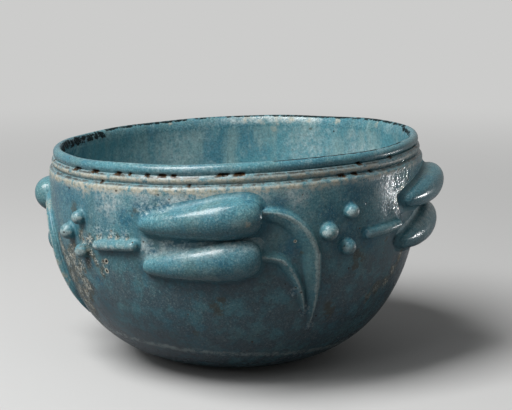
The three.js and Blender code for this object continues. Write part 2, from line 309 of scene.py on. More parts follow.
# Pits in the grooves: bearing in degrees, and half width in millimetres
GROOVE_PITS = {
    "upper groove": (
        (305.5, 2.2), (314.6, 1.8), (324.2, 1.3), (328.4, 0.7), (334.1, 0.9), (338.8, 1.5), (342.3, 0.9),
        (356.6, 2), (1, 1.8), (37.2, 1.3), (51.4, 1.2), (72, 1.4), (103, 2), (121, 1), (152, 1.6), (186, 1.8),
        (203, 1.1), (233, 1.3), (251, 2), (284, 1.2),
    ),
    "lower groove": (
        (30.7, 1.4), (35.3, 1.3), (41.5, 0.8), (318, 0.8), (347, 0.6), (88, 1.2), (139, 1.3), (171, 0.9),
        (219, 1.5), (268, 1),
    ),
}


class Wall:
    """The curve of the bowl's wall, and places measured on it."""

    def __init__(self, size):
        self.size = size
        self.belly_height = size.bowl_height + size.belly_rise
        fullness = size.curve_fullness
        foot = (size.foot_radius / size.belly_radius) ** fullness
        self.pole_depth = self.belly_height / (1 - foot) ** (1 / fullness)

    def radius(self, height):
        """Radius of the outer wall at a height."""
        fullness = self.size.curve_fullness
        share = np.clip((self.belly_height - height) / self.pole_depth, 0, 1)
        return self.size.belly_radius * (1 - share**fullness) ** (1 / fullness)

    def curve(self, radius, depth, from_radius, to_height, steps):
        """Points of a wall curve from low to high, as radius and height."""
        power = 2 / self.size.curve_fullness
        start = math.asin((from_radius / radius) ** (1 / power))
        end = math.acos(((self.belly_height - to_height) / depth) ** (1 / power))
        angle = np.linspace(start, end, steps + 1)
        return [
            (radius * math.sin(a) ** power, self.belly_height - depth * math.cos(a) ** power) for a in angle
        ]

    def place(self, spray, run, drop, out):
        """Points that stand out from the wall at a spray's runs and drops."""
        middle = bpy.context.scene.lotus_spray.middle_drop
        turn = math.radians(spray.turn)
        beside = run * math.cos(turn) - (drop - middle) * math.sin(turn)
        below = run * math.sin(turn) + (drop - middle) * math.cos(turn) + middle
        height = self.size.bowl_height - below - spray.fall * MM
        step = 0.3 * MM
        slope = (self.radius(height + step) - self.radius(height - step)) / (2 * step)
        lean = np.hypot(1, slope)
        bearing = math.radians(spray.bearing) + beside / self.size.belly_radius
        radius = self.radius(height) + out / lean
        return np.stack(
            [radius * np.sin(bearing), -radius * np.cos(bearing), height - out * slope / lean], axis=1
        )

    def run_and_drop(self, spray, bearing, height):
        """Runs and drops, from a spray's own bearing, of points on the wall."""
        middle = bpy.context.scene.lotus_spray.middle_drop
        turn = math.radians(spray.turn)
        beside = turn_from(spray.bearing, bearing) * self.size.belly_radius
        below = self.size.bowl_height - height - spray.fall * MM - middle
        run = beside * math.cos(turn) + below * math.sin(turn)
        drop = -beside * math.sin(turn) + below * math.cos(turn) + middle
        return np.stack([run, drop], axis=1)


def bearing_of(points):
    """Bearings round the axis, in radians from the front towards +X."""
    return np.arctan2(points[:, 0], -points[:, 1])


def turn_from(degrees, bearing):
    """The turn from a bearing in degrees to others in radians, from minus half a turn to half."""
    return (bearing - math.radians(degrees) + math.pi) % (2 * math.pi) - math.pi


def hand_shaped(points, size):
    """The points as the potter's hands left them: a little out of round, with the mouth sloped."""
    bearing = bearing_of(points)
    share = np.clip(points[:, 2] / size.bowl_height, 0, 1)
    turn = share * 2 * math.pi
    swell = (
        0.9 * np.sin(2 * bearing + 0.6)
        + 0.6 * np.sin(3 * bearing + 2.2 + 0.8 * turn)
        + 0.4 * np.sin(5 * bearing - 1.1 - 1.3 * turn)
        + 0.3 * np.sin(8 * bearing + 0.4 + 1.7 * turn)
    )
    sway = 0.5 * np.sin(4 * bearing + 1) + 0.35 * np.sin(7 * bearing - 0.7) + 0.3 * np.sin(11 * bearing + 2)
    shaped = points.copy()
    shaped[:, :2] *= (1 + size.unevenness * swell * share / size.belly_radius)[:, None]
    shaped[:, 2] += size.unevenness * sway * share**4
    shaped[:, 2] += points[:, 0] * math.tan(size.mouth_slope) * share * (2 - share)
    return shaped


def rough(points, reach, seed=0):
    """Smooth noise from -1 to 1 at each point, with lumps of a reach."""
    shift = Vector((seed * 7.3, seed * 3.1, seed * 5.7))
    return np.array([noise.noise(Vector(p) / reach + shift) for p in points])


def bell(distance, reach):
    """1 where a distance is nothing, and fading to 0 beyond a reach."""
    return np.exp(-((distance / reach) ** 2))


def facing(bearing, degrees):
    """How far round towards a bearing in degrees, from 0 on the far side to 1."""
    return 0.5 + 0.5 * np.cos(bearing - math.radians(degrees))


class Spots:
    """Points on the wall, and how the marks of wear and weathering, and of painted shade and light, reach
    them.
    """

    def __init__(self, points, least_radius=0):
        self.bearing = bearing_of(points)
        self.height = points[:, 2]
        self.radius = np.maximum(np.hypot(points[:, 0], points[:, 1]), least_radius)
        around = np.stack(
            [self.radius * np.sin(self.bearing), self.radius * np.cos(self.bearing), self.height], axis=1
        )
        # The edges of the marks wander
        self.wander = 1 + 0.3 * rough(around, 5 * MM, 4) + 0.25 * rough(around, 2.6 * MM, 5)

    def near(self, table):
        """How far each point lies within any of a table of marks, from 0 to 1."""
        most = np.zeros(len(self.bearing))
        for bearing, height, reach in table:
            beside = turn_from(bearing, self.bearing) * self.radius
            away = np.hypot(beside, self.height - height * MM) * self.wander
            most = np.maximum(most, bell(away, reach * MM))
        return most

    def marks(self):
        """Every mark of the outside of the wall."""
        marks = {mark: self.near(table) for mark, table in ON_WALL.items()}
        marks["pooled"] *= 1.5
        marks["bloomed"] *= 0.9
        for height, reach, most in HAZE_BANDS:
            band = bell(self.height - height * MM, reach * MM) * (self.height < HAZE_TOP * MM)
            band = most * band * facing(self.bearing, DEPOSIT_SIDE) ** 0.8
            marks["bloomed"] = np.maximum(marks["bloomed"], band)
        # Darker towards the bottom, and painted shade towards the shaded side
        deep_share = np.clip((LOW_DARK_TOP * MM - self.height) / (LOW_DARK_FADE * MM), 0, 1)
        marks["ashen"] = (0.62 + 0.28 * facing(self.bearing, SHADE_SIDE)) * deep_share
        return marks


def smooth_through(points, steps):
    """Points of a smooth line through the given ones."""
    points = np.asarray(points, float)
    along = np.linspace(0, len(points) - 1, steps + 1)
    first = np.minimum(along.astype(int), len(points) - 2)
    part = (along - first)[:, None]
    before, start, end, after = (points[np.clip(first + k, 0, len(points) - 1)] for k in (-1, 0, 1, 2))
    leave, arrive = (end - before) / 2, (after - start) / 2
    return (
        (2 * start - 2 * end + leave + arrive) * part**3
        + (3 * end - 3 * start - 2 * leave - arrive) * part**2
        + leave * part
        + start
    )


class Path:
    """A line on the unrolled wall, as runs and drops, measured along its length."""

    def __init__(self, points):
        self.points = smooth_through(points, 400)
        steps = np.linalg.norm(np.diff(self.points, axis=0), axis=1)
        self.along = np.concatenate([[0], np.cumsum(steps)])
        self.length = self.along[-1]
        self.slopes = np.gradient(self.points, self.along, axis=0)

    def at(self, share):
        """Places and directions at shares of the length."""
        where = share * self.length
        place = np.stack([np.interp(where, self.along, self.points[:, k]) for k in (0, 1)], axis=1)
        way = np.stack([np.interp(where, self.along, self.slopes[:, k]) for k in (0, 1)], axis=1)
        return place, way / np.linalg.norm(way, axis=1)[:, None]


# A piece laid on the wall: lean is how far its crest is moved aside as a share of its height,
# keen is how far its round section is drawn to an edge, and worn is how pale its
# crest is, from thin glaze and painted highlight
Piece = namedtuple("Piece", "kind path outline radius relief lift lean keen fillet worn")


def spray_pieces(spray):
    """The eight pieces of a spray: their lines on the wall, outlines and sections."""
    size = bpy.context.scene.lotus_spray
    root = STEM_ROOT * MM
    upper_butt = np.array((size.butt_run, UPPER_BUD_DROPS[1] * MM))
    lower_butt = np.array((size.butt_run - spray.setback * MM, (LOWER_BUD_DROPS[1] + spray.sag) * MM))
    upper_tip = np.array((upper_butt[0] - size.upper_bud_length, UPPER_BUD_DROPS[0] * MM))
    lower_tip = np.array((lower_butt[0] - size.lower_bud_length, (LOWER_BUD_DROPS[0] + spray.sag) * MM))
    pieces = [
        Piece("upper_bud", Path([upper_tip, upper_butt]), BUD_OUTLINE, size.upper_bud_radius,
              size.upper_bud_relief, lift=1.2 * MM, lean=0.18, keen=0, fillet=size.bud_fillet, worn=0.15),
        Piece("lower_bud", Path([lower_tip, lower_butt]), BUD_OUTLINE, size.lower_bud_radius,
              size.lower_bud_relief, lift=0.9 * MM, lean=0.1, keen=0, fillet=size.bud_fillet, worn=0.15),
    ]
    for kind, butt, end, line, outline, radius, relief, lean in (
        ("upper_stem", upper_butt, UPPER_STEM_END, UPPER_STEM_LINE, UPPER_STEM_OUTLINE,
         size.upper_stem_radius, size.upper_stem_relief, 0.5),
        ("lower_stem", lower_butt, LOWER_STEM_END, LOWER_STEM_LINE, LOWER_STEM_OUTLINE,
         size.lower_stem_radius, size.lower_stem_relief, 0.2),
    ):
        start = butt - (root, 0)
        way = np.array(end) * MM - start
        path = Path([start, *(start + way * shares for shares in line), start + way])
        pieces.append(Piece(kind, path, outline, radius, relief, lift=0.4 * MM, lean=lean, keen=0.5,
                            fillet=size.fillet, worn=1.2))
    inner = np.array(BAR_INNER) * MM
    outer = np.array((inner[0] - size.bar_length, BAR_OUTER_DROP * MM))
    blunt = size.bar_radius / size.bar_length
    turn = np.linspace(0, math.pi / 2, 7)
    left_end = [(blunt * (1 - math.cos(a)), math.sin(a)) for a in turn]
    right_end = [(1 - along, across) for along, across in reversed(left_end)]
    middle = [(along, 1) for along in np.linspace(blunt, 1 - blunt, 7)[1:-1]]
    pieces.append(Piece("bar", Path([outer, inner]), (*left_end, *middle, *right_end), size.bar_radius,
                        size.bar_relief, lift=0.6 * MM, lean=0, keen=0, fillet=size.fillet, worn=0.6))
    turn = np.linspace(0, math.pi, 13)
    ball = [((1 - math.cos(a)) / 2, math.sin(a)) for a in turn]
    for kind, (run, drop, share) in PELLETS.items():
        middle = np.array((run, drop)) * MM
        radius = size.pellet_radius * share
        reach = np.array((radius, 0))
        pieces.append(Piece(kind, Path([middle - reach, middle + reach]), ball, radius,
                            radius + size.pellet_lift, lift=size.pellet_lift, lean=0, keen=0,
                            fillet=0.55 * size.fillet, worn=0.85))
    return pieces


def spin(bm, line, axis, angle, steps, is_closed=False):
    """Joins points to a line and turns it about an axis through the origin."""
    edges = [bm.edges.new(pair) for pair in zip(line, line[1:])]
    bmesh.ops.spin(
        bm, geom=line + edges, cent=(0, 0, 0), axis=axis, dvec=(0, 0, 0), angle=angle, space=Matrix(),
        steps=steps, use_merge=is_closed, use_normal_flip=False, use_duplicate=False,
    )
    bmesh.ops.remove_doubles(bm, verts=bm.verts, dist=TOUCH)


def half_roll(outline, sides):
    """Half of a turned roll along +Y, its cut side down on z = 0."""
    bm = bmesh.new()
    spin(bm, [bm.verts.new((across, along, 0)) for along, across in outline], (0, -1, 0), math.pi, sides)
    return bm


def stand_on_wall(bm, piece, full_at, bed):
    """Raises a half roll to its relief and closes it below: its edge drops to the wall, flares
    into a fillet there and ends in a flat back, a little under the wall's face."""
    for vert in bm.verts:
        width = math.hypot(vert.co.x, vert.co.z)
        vert.co.z += piece.keen * (width - abs(vert.co.x) - vert.co.z)
    start = bm.verts.layers.float_vector.new("start")
    outward = bm.verts.layers.float_vector.new("outward")
    full = bm.verts.layers.float.new("full")
    crest = bm.verts.layers.float.new("crest")
    rim = [edge for edge in bm.edges if edge.is_boundary]
    for vert in {v for edge in rim for v in edge.verts}:
        before, after = [e.other_vert(vert).co for e in vert.link_edges if e.is_boundary]
        normal = Vector((after.y - before.y, before.x - after.x, 0)).normalized()
        ahead = normal.x * vert.co.x if abs(vert.co.x) > TOUCH else normal.y * vert.co.y
        vert[start] = vert.co
        vert[outward] = normal if ahead > 0 else -normal
    flatness = (piece.relief - piece.lift) / piece.radius
    for vert in bm.verts:
        vert[full] = full_at(vert.co.y)
        vert[crest] = vert.co.z / max(math.hypot(vert.co.x, vert.co.z), TOUCH)
    back = bmesh.ops.duplicate(bm, geom=[*bm.verts, *bm.edges, *bm.faces])["geom"]
    back = [item for item in back if isinstance(item, bmesh.types.BMVert)]
    top = set(bm.verts) - set(back)
    for vert in top:
        vert.co.x -= vert.co.z * piece.lean
        vert.co.z = piece.lift * vert[full] + vert.co.z * flatness
    fillet = piece.fillet
    first = math.asin(1 - min(1, piece.lift / fillet))
    angles = np.linspace(first, math.pi / 2, FILLET_STEPS)
    steps = [(fillet * (1 - math.sin(a)), fillet * (math.cos(first) - math.cos(a))) for a in angles]
    if steps[0][0] > piece.lift - TOUCH:
        steps = steps[1:]
    toe = steps[-1][1]
    steps += [(-bed / 4, toe + bed), (-bed, toe + 1.5 * bed)]
    for height, flare in steps:
        grown = bmesh.ops.extrude_edge_only(bm, edges=rim)["geom"]
        rim = [item for item in grown if isinstance(item, bmesh.types.BMEdge) and item.is_boundary]
        for vert in {v for edge in rim for v in edge.verts}:
            vert.co = vert[start] + vert[outward] * flare * vert[full]
            vert.co.z = height * (vert[full] if height > 0 else 1)
    for vert in back:
        flare = vert[outward] * steps[-1][1] * vert[full] if vert.is_boundary else Vector()
        vert.co = Vector((vert.co.x, vert.co.y, 0)) + flare
        vert.co.z = -bed
    bmesh.ops.remove_doubles(bm, verts=bm.verts, dist=TOUCH)
    bmesh.ops.recalc_face_normals(bm, faces=bm.faces)


def set_attributes(mesh, marks):
    """Keeps the values of some marks at each vertex, for the glaze to read."""
    for name, values in marks.items():
        attribute = mesh.attributes.new(name, "FLOAT", "POINT")
        attribute.data.foreach_set("value", np.asarray(values, np.float32))


def get_attribute(mesh, name):
    """One value for each vertex."""
    values = np.zeros(len(mesh.vertices), np.float32)
    mesh.attributes[name].data.foreach_get("value", values)
    return values


def get_points(mesh):
    """The mesh's vertices, one row each."""
    points = np.zeros(len(mesh.vertices) * 3, np.float32)
    mesh.vertices.foreach_get("co", points)
    return points.reshape(-1, 3).astype(float)


def finish_piece(name, bm, node, material):
    """Makes a bmesh an object that stands for a node of the model, and returns it."""
    mesh = bpy.data.meshes.new(name)
    bm.to_mesh(mesh)
    bm.free()
    mesh.shade_smooth()
    mesh.materials.append(material)
    piece = bpy.data.objects.new(name, mesh)
    bpy.context.scene.collection.objects.link(piece)
    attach(piece, "root")
    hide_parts(node)
    return piece


def emptied(owner):
    """Empties the node tree of a material or world. Returns add_node for that tree."""
    owner.use_nodes = True
    owner.node_tree.nodes.clear()
    return partial(add_node, owner.node_tree)


def add_node(tree, kind, settings=(), **inputs):
    """Adds a node with its settings, and sets or links its inputs, named by identifier."""
    node = tree.nodes.new("ShaderNode" + kind)
    for name, value in dict(settings).items():
        setattr(node, name, value)
    for name, value in inputs.items():
        socket = next(s for s in node.inputs if s.identifier in (name, name.replace("_", " ")))
        if isinstance(value, bpy.types.Node):
            value = next(s for s in value.outputs if s.enabled)
        if isinstance(value, bpy.types.NodeSocket):
            tree.links.new(value, socket)
        else:
            socket.default_value = value
    return node


def per(millimetres):
    """Scale of a texture whose lumps are this many millimetres across."""
    return 1 / (millimetres * MM)


SMOOTH = {"interpolation_type": "SMOOTHSTEP"}
TIMES = {"operation": "MULTIPLY"}
SUM_UP = {"operation": "MULTIPLY_ADD"}
COLOUR = {"data_type": "RGBA"}


def ringed_spots():
    """Where the ringed pits are on the wall, each with the reach of its ring."""
    wall = Wall(bpy.context.scene.lotus_bowl)
    spots = []
    for bearing, height, reach in RINGED:
        turn = math.radians(bearing)
        radius = wall.radius(height * MM)
        spot = np.array([[radius * math.sin(turn), -radius * math.cos(turn), height * MM]])
        spots.append((tuple(hand_shaped(spot, wall.size)[0]), reach * MM))
    return spots


def faience_glaze(name, grain, depth):
    """Faience: a copper-blue alkaline glaze, fired on a ground quartz paste. It is glassy and a
    little rippled, mottled where it ran, pale where thin and deep where it gathered, and
    pitted where bubbles burst. Grain is how strongly its fine ripple breaks a highlight, and
    depth how blue its thick patches are."""
    # Some layers of its colour are painted shade, sheen and highlight
    colours = bpy.context.scene.lotus_glaze
    material = bpy.data.materials.new(name)
    add = emptied(material)
    marks = {
        mark: add("Attribute", {"attribute_name": mark}).outputs["Fac"]
        for mark in (*ON_WALL, "worn", "dusted", "rusted", "chipped", "inside", "ashen", "grimed", "matt")
    }
    place = add("TexCoord").outputs["Object"]
    runs = add("Mapping", Vector=place, Scale=(1, 1, 0.3))
    slant = add(
        "Mapping", {"vector_type": "TEXTURE"}, Vector=place, Rotation=(-0.42, 0.32, 0), Scale=(1, 1, 2.6)
    )
    clouds, drifts, blotches, ripple, flecks, strokes, mottle, grit = (
        add("TexNoise", Vector=way, Scale=per(lump), Detail=detail, Roughness=rough_part)
        for way, lump, detail, rough_part in (
            (place, 22, 3.0, 0.55),
            (runs, 7, 4.0, 0.6),
            (place, 4.5, 4.0, 0.65),
            (place, 3, 2.0, 0.5),
            (place, 1.9, 5.0, 0.75),
            (slant, 1.6, 3.0, 0.65),
            (place, 0.8, 3.0, 0.65),
            (place, 0.45, 2.0, 0.6),
        )
    )

    # Values that follow a noise or a mark evenly: its start and end, and what these become
    rough_share = add("Math", SUM_UP, Value=marks["pitted"], Value_001=0.4, Value_002=marks["crusted"])
    rarity, coarse, grit_outside, grit_out_of_pools_and_shade, tanned, lightness, glint, gloss = (
        add("MapRange", Value=value, From_Min=start, From_Max=end, To_Min=low, To_Max=high)
        for value, start, end, low, high in (
            (rough_share, 0.0, 0.8, 0.96, 0.2),
            (rough_share, 0.0, 0.6, 0.4, 1.8),
            (marks["inside"], 0.0, 1.0, 0.42, 0.2),
            (marks["pooled"], 0.0, 1.0, 1.0, 0.3),
            (mottle, 0.42, 0.62, 0.0, 1.0),
            (mottle, 0.3, 0.7, 0.76, 1.24),
            (marks["glinting"], 0.0, 1.0, grain, 1.2),
            (blotches, 0.3, 0.7, 0.17, 0.3),
        )
    )

    # Burst bubbles: in some cells of a pattern, larger and closer in the pitted patches
    cells = add("TexVoronoi", Vector=place, Scale=per(1.5))
    chance = add("SeparateColor", Color=cells.outputs["Color"])
    reach = add("MapRange", Value=chance, From_Min=rarity, From_Max=1.0, To_Min=0.001, To_Max=0.32)
    away = add("Math", {"operation": "DIVIDE"}, Value=cells, Value_001=reach)
    # Ringed pits, each at its own spot, with an edge that wanders
    nearest = 10.0
    for spot, ring_reach in ringed_spots():
        apart = add("VectorMath", {"operation": "DISTANCE"}, Vector=place, Vector_001=spot)
        apart = add("Math", TIMES, Value=apart.outputs["Value"], Value_001=1 / ring_reach)
        nearest = add("Math", {"operation": "MINIMUM"}, Value=nearest, Value_001=apart)
    nearest = add("Math", {"operation": "ADD"}, Value=mottle, Value_001=nearest)

    gritty = add("Math", TIMES, Value=grit_outside, Value_001=grit_out_of_pools_and_shade)
    deep, green, pale, dark_grit, pale_grit, pit, rim, ring, burst = (
        add("MapRange", SMOOTH, Value=value, From_Min=start, From_Max=end, To_Max=most)
        for value, start, end, most in (
            (clouds, 0.56, 0.42, depth),
            (drifts, 0.45, 0.68, 0.7),
            (blotches, 0.5, 0.72, 0.3),
            (grit, 0.52, 0.36, gritty),
            (grit, 0.54, 0.72, gritty),
            (away, 1.0, 0.5, 0.9),
            (away, 2.0, 1.0, 0.8),
            (nearest, 1.6, 1.4, 0.95),
            (nearest, 1.1, 0.9, 0.97),
        )
    )
    rim, streaks, strokes, pool = (
        add("Math", TIMES, Value=value, Value_001=share)
        for value, share in (
            (rim, rough_share),
            (green, marks["inside"]),
            (strokes, marks["glinting"]),
            (marks["pooled"], 0.55),
        )
    )
    streaks = add("Math", TIMES, Value=streaks, Value_001=0.4)

    def patch(mark, breakup, start, end, most=1.0):
        """Where a mark shows once a noise has broken it up."""
        gain = add("MapRange", Value=breakup, From_Min=0.3, From_Max=0.7, To_Max=2.0)
        total = add("Math", TIMES, Value=marks[mark], Value_001=gain)
        return add("MapRange", SMOOTH, Value=total, From_Min=start, From_Max=end, To_Max=most)

    crust = patch("pitted", mottle, 0.4, 1.4, 0.6)
    dust_patch_and_highlight = patch("dusted", flecks, 0.2, 1.1, 0.92)
    soil = patch("crusted", flecks, 0.2, 0.9, 0.85)
    white_specks = patch("crusted", grit, 0.95, 1.3, 0.9)
    cream_specks = patch("crusted", mottle, 1.0, 1.3, 0.95)
    chip = patch("chipped", flecks, 0.48, 0.6, 0.95)
    core, ground, tone = (
        add("Mix", COLOUR, Factor_Float=share, A_Color=first, B_Color=second)
        for share, first, second in (
            (chance.outputs["Green"], colours.bare, colours.rust),
            (tanned, colours.cream, colours.tan),
            (deep, colours.turquoise, colours.deep),
        )
    )
    # The layers of colour, from the glaze itself to the bare paste of pits and chips, with painted shade and
    # highlight among them
    for cover, shade in (
        (green, colours.green),
        (streaks, colours.pale),
        (pale, colours.pale),
        # Gathered glaze, and painted shade
        (pool, colours.pool),
        # Darker low wall, with painted shade on the shaded side
        (patch("ashen", blotches, 0.1, 1.2, 0.8), colours.low_dark_tone),
        # Wear, and painted highlight on crests
        (patch("worn", flecks, 0.3, 0.9, 0.8), colours.pale),
        # Haze, and painted sheen and highlight
        (patch("bloomed", flecks, 0.0, 1.45, 0.85), colours.frost_and_sheen),
        (soil, colours.olive),
        (patch("clear", flecks, 0.2, 1.2, 0.8), colours.azure),
        (dark_grit, colours.pool),
        (pale_grit, colours.pale),
        (patch("stained", blotches, 0.45, 0.9, 0.6), colours.olive),
        (crust, colours.frost_and_sheen),
        (patch("pitted", flecks, 0.55, 1.1, 0.6), colours.azure),
        (white_specks, colours.frost_and_sheen),
        (cream_specks, colours.cream),
        (rim, ground),
        (ring, colours.cream),
        # Deposit, and painted highlight
        (dust_patch_and_highlight, ground),
        # Dirt, and painted shade, in the bottom of the grooves
        (patch("grimed", flecks, 0.2, 1.0, 0.9), colours.grime_and_shade_tone),
        (pit, core),
        (burst, colours.bare),
        (patch("rusted", flecks, 0.25, 0.6), colours.rust),
        (patch("rusted", mottle, 0.6, 1.1), colours.bare),
        (chip, colours.bare),
    ):
        tone = add("Mix", COLOUR, Factor_Float=cover, A_Color=tone, B_Color=shade)
    tone = add("HueSaturation", Value=lightness, Color=tone)

    # Height of the glaze in tenths of a millimetre: a slow ripple, a fine one, pits and chips
    specks = add("Math", {"operation": "MAXIMUM"}, Value=white_specks, Value_001=cream_specks)
    height = add("Math", TIMES, Value=mottle, Value_001=glint)
    for value, gain in (
        (grit, coarse),
        (ripple, 0.6),
        (strokes, 6.0),
        (pit, -1.0),
        (burst, -2.5),
        (specks, 1.2),
        (chip, -1.2),
        (crust, flecks),
        (dust_patch_and_highlight, mottle),
    ):
        height = add("Math", SUM_UP, Value=value, Value_001=gain, Value_002=height)
    relief = add("Bump", Strength=1.0, Distance=0.1 * MM, Height=height)

    # Dirt and crust dull the glaze
    for value, gain in (
        (dust_patch_and_highlight, 0.45),
        (chip, 0.45),
        (crust, 0.45),
        (soil, 0.25),
        (marks["glinting"], -0.13),
        (marks["matt"], 0.4),
    ):
        gloss = add("Math", SUM_UP, Value=value, Value_001=gain, Value_002=gloss)
    bare = add("Math", {"operation": "ADD"}, Value=chip, Value_001=burst)
    shine = add("MapRange", Value=bare, From_Min=0.0, From_Max=1.0, To_Min=0.5, To_Max=0.08)
    shader = add(
        "BsdfPrincipled", Base_Color=tone, Roughness=gloss, Normal=relief, IOR=1.5, Specular_IOR_Level=shine
    )
    add("OutputMaterial", Surface=shader)
    return material


def glaze(name, grain, depth):
    """The glaze of that name, made when it is first asked for."""
    return bpy.data.materials.get(name) or faience_glaze(name, grain, depth)


def body_outline(wall):
    """The bowl's outline from the middle of the flat, out and up, over the lip and down inside.
    Each point is a radius, a height, and its kind."""
    size = wall.size
    shoulder_height = size.bowl_height - size.shoulder_drop
    inner_radius = size.belly_radius - size.wall_thickness
    inner_depth = wall.belly_height - size.floor_thickness

    def arc(x, y, radius, start, end, steps):
        turn = np.radians(np.linspace(start, end, steps + 1))
        return [(x + radius * math.cos(a), y + radius * math.sin(a)) for a in turn]

    def groove(below, above, depth):
        """A rounded valley between two rolls."""
        bottom = (min(below[0], above[0]) - depth, (below[1] + above[1]) / 2)
        share = np.linspace(0, 1, 7)[1:-1]
        return [
            tuple((1 - s) ** 2 * b + 2 * s * (1 - s) * m + s * s * a for b, m, a in zip(below, bottom, above))
            for s in share
        ]

    flat = [(size.foot_radius * share, 0) for share in (0, 0.3, 0.6, 0.85)]
    outside = wall.curve(size.belly_radius, wall.pole_depth, size.foot_radius, shoulder_height, 72)
    shoulder = arc(
        wall.radius(shoulder_height) - size.shoulder_round, shoulder_height, size.shoulder_round, 0, 75, 9
    )
    rib = arc(size.rib_radius - size.rib_roll, size.bowl_height - size.rib_drop, size.rib_roll, -52, 52, 12)
    lip = arc(size.lip_radius - size.lip_roll, size.bowl_height - size.lip_roll, size.lip_roll, -50, 180, 26)
    # Its inner side is rubbed down to a longer curve
    rubbed = 1.1
    middle = size.lip_radius - size.lip_roll
    lip = [(r, h - (size.bowl_height - h) * rubbed if r < middle else h) for r, h in lip]
    inside = wall.curve(inner_radius, inner_depth, 0, shoulder_height, 64)[::-1]
    throat = [tuple(a + (b - a) * s for a, b in zip(lip[-1], inside[0])) for s in (0.25, 0.5, 0.75)]
    parts = (
        ("outside", flat + outside + shoulder[1:]),
        ("lower groove", groove(shoulder[-1], rib[0], 0.4 * MM)),
        ("outside", rib),
        ("upper groove", groove(rib[-1], lip[0], 0.4 * MM)),
        ("lip", lip),
        ("inside", throat + inside),
    )
    return [(*point, kind) for kind, points in parts for point in points]


